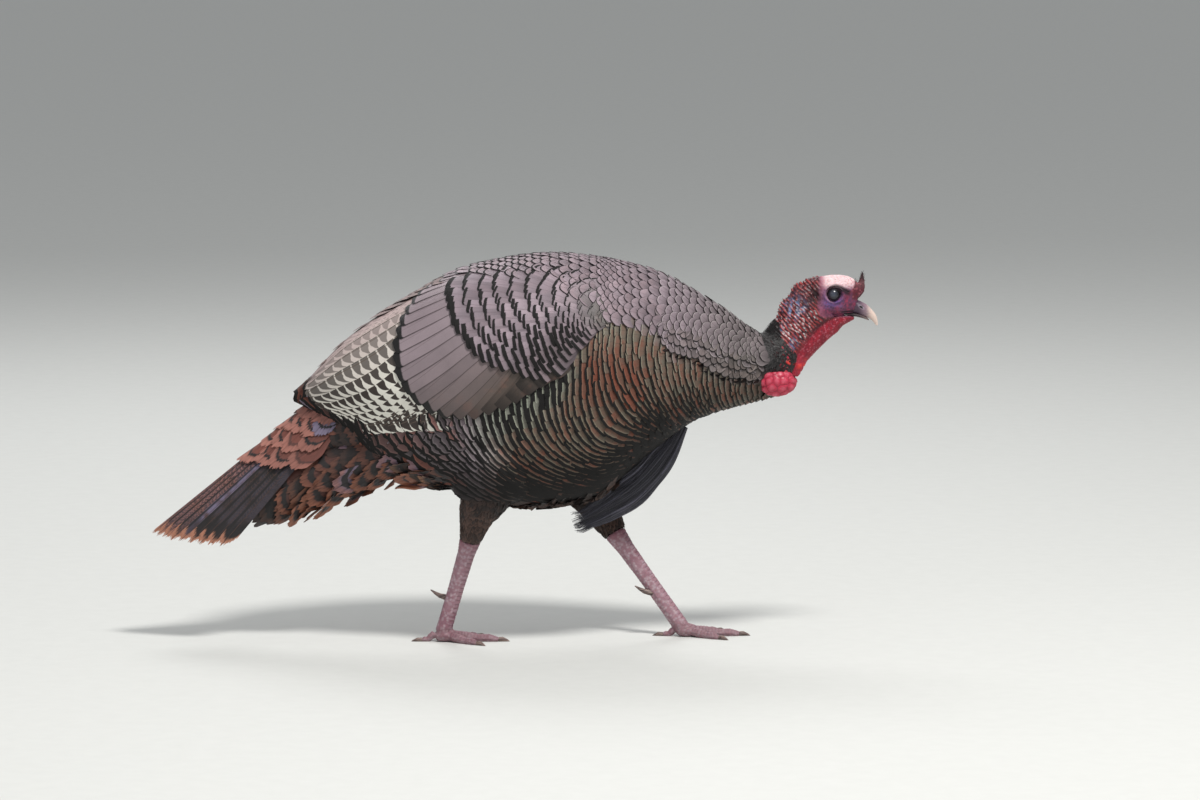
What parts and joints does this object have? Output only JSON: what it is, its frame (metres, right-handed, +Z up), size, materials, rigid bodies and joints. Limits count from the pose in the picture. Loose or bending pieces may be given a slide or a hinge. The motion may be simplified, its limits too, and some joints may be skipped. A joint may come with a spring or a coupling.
{
  "type": "life-size wild turkey model",
  "caption": "Life-size still model of an adult male wild turkey walking on all its toes, with folded wings, a lowered tail, a beard and a stretched neck.",
  "frame": {"origin": "on the floor, under the middle of the bird's bounding box", "axes": "+X along the body from the tail to the bill, +Y to the bird's left side, +Z up"},
  "size_m": [1.0426, 0.275, 0.5557],
  "materials": {
    "bronze_plumage": "smooth overlapping feathers with a bronze sheen and black tips",
    "barred_plumage": "flight feathers barred in cream and dark brown",
    "chestnut_plumage": "chestnut tail feathers with fine black bars",
    "dark_plumage": "short soft dark brown plumes",
    "black_plumage": "black hair-like feathers and bristles",
    "face_skin": "bare wrinkled pink and lavender skin",
    "red_skin": "bare pebbled crimson skin",
    "shank_scales": "pinkish horny scales",
    "claw_horn": "dark smooth horn",
    "bill_horn": "smooth horn, grey at the base and pale at the tip",
    "eye": "wet dark eye"
  },
  "bodies": {
    "root": {"trunk": "bronze_plumage", "neck_feathers": "bronze_plumage", "collar": "black_plumage", "neck": "red_skin", "head": "face_skin", "wattle": "red_skin", "snood": "red_skin", "caruncle_right": "red_skin", "caruncle_left": "red_skin", "caruncle_front": "red_skin", "bill_upper": "bill_horn", "bill_lower": "bill_horn", "eye_right": "eye", "eye_left": "eye", "beard": "black_plumage", "tail_fan": "chestnut_plumage", "tail_coverts_upper": "chestnut_plumage", "tail_coverts_under": "chestnut_plumage", "wing_right_coverts": "bronze_plumage", "wing_right_panel": "bronze_plumage", "wing_right_flight": "barred_plumage", "wing_left_coverts": "bronze_plumage", "wing_left_panel": "bronze_plumage", "wing_left_flight": "barred_plumage", "thigh_right": "dark_plumage", "tarsus_right": "shank_scales", "spur_right": "claw_horn", "toe_right_middle": "shank_scales", "claw_right_middle": "claw_horn", "toe_right_inner": "shank_scales", "claw_right_inner": "claw_horn", "toe_right_outer": "shank_scales", "claw_right_outer": "claw_horn", "toe_right_hind": "shank_scales", "claw_right_hind": "claw_horn", "thigh_left": "dark_plumage", "tarsus_left": "shank_scales", "spur_left": "claw_horn", "toe_left_middle": "shank_scales", "claw_left_middle": "claw_horn", "toe_left_inner": "shank_scales", "claw_left_inner": "claw_horn", "toe_left_outer": "shank_scales", "claw_left_outer": "claw_horn", "toe_left_hind": "shank_scales", "claw_left_hind": "claw_horn"}
  },
  "joints": []
}
